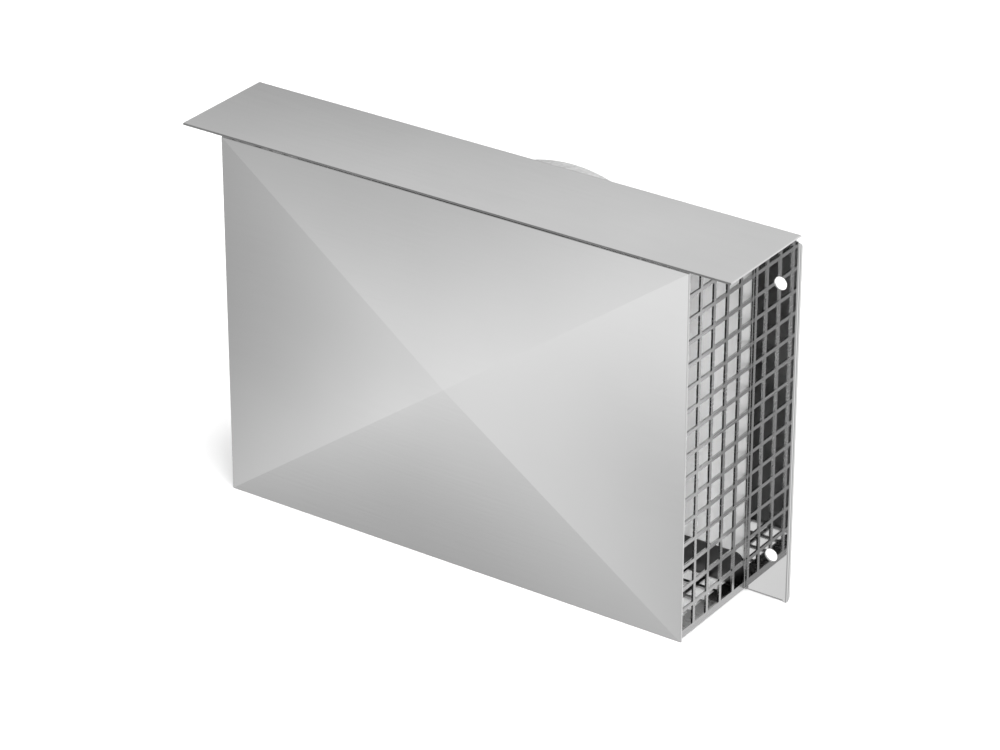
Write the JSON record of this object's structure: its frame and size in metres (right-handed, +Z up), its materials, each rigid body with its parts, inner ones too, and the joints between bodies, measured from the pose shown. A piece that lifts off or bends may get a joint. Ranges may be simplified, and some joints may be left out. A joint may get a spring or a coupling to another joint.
{
  "type": "exterior ventilation grille",
  "caption": "Folded stainless wall grille with a hood, a cross-folded front panel, perforated sides and underside, and a round rear duct spigot with lip seals.",
  "frame": {"origin": "on the duct's axis, in the rear face of the back plate, at the centre of the wall fixings", "axes": "+Z up, +X to the right seen from the front, +Y towards the wall and the duct; the front looks along -Y"},
  "size_m": [0.318, 0.1123, 0.1996],
  "materials": {
    "stainless": "bright cold-rolled stainless sheet",
    "galvanised": "dull galvanised sheet",
    "seal_rubber": "matt black"
  },
  "bodies": {
    "root": {"back_plate": "stainless", "front_panel": "stainless", "left_grille": "stainless", "right_grille": "stainless", "bottom_grille": "stainless", "spigot": "galvanised", "rear_seal": "seal_rubber", "front_seal": "seal_rubber"}
  },
  "joints": []
}
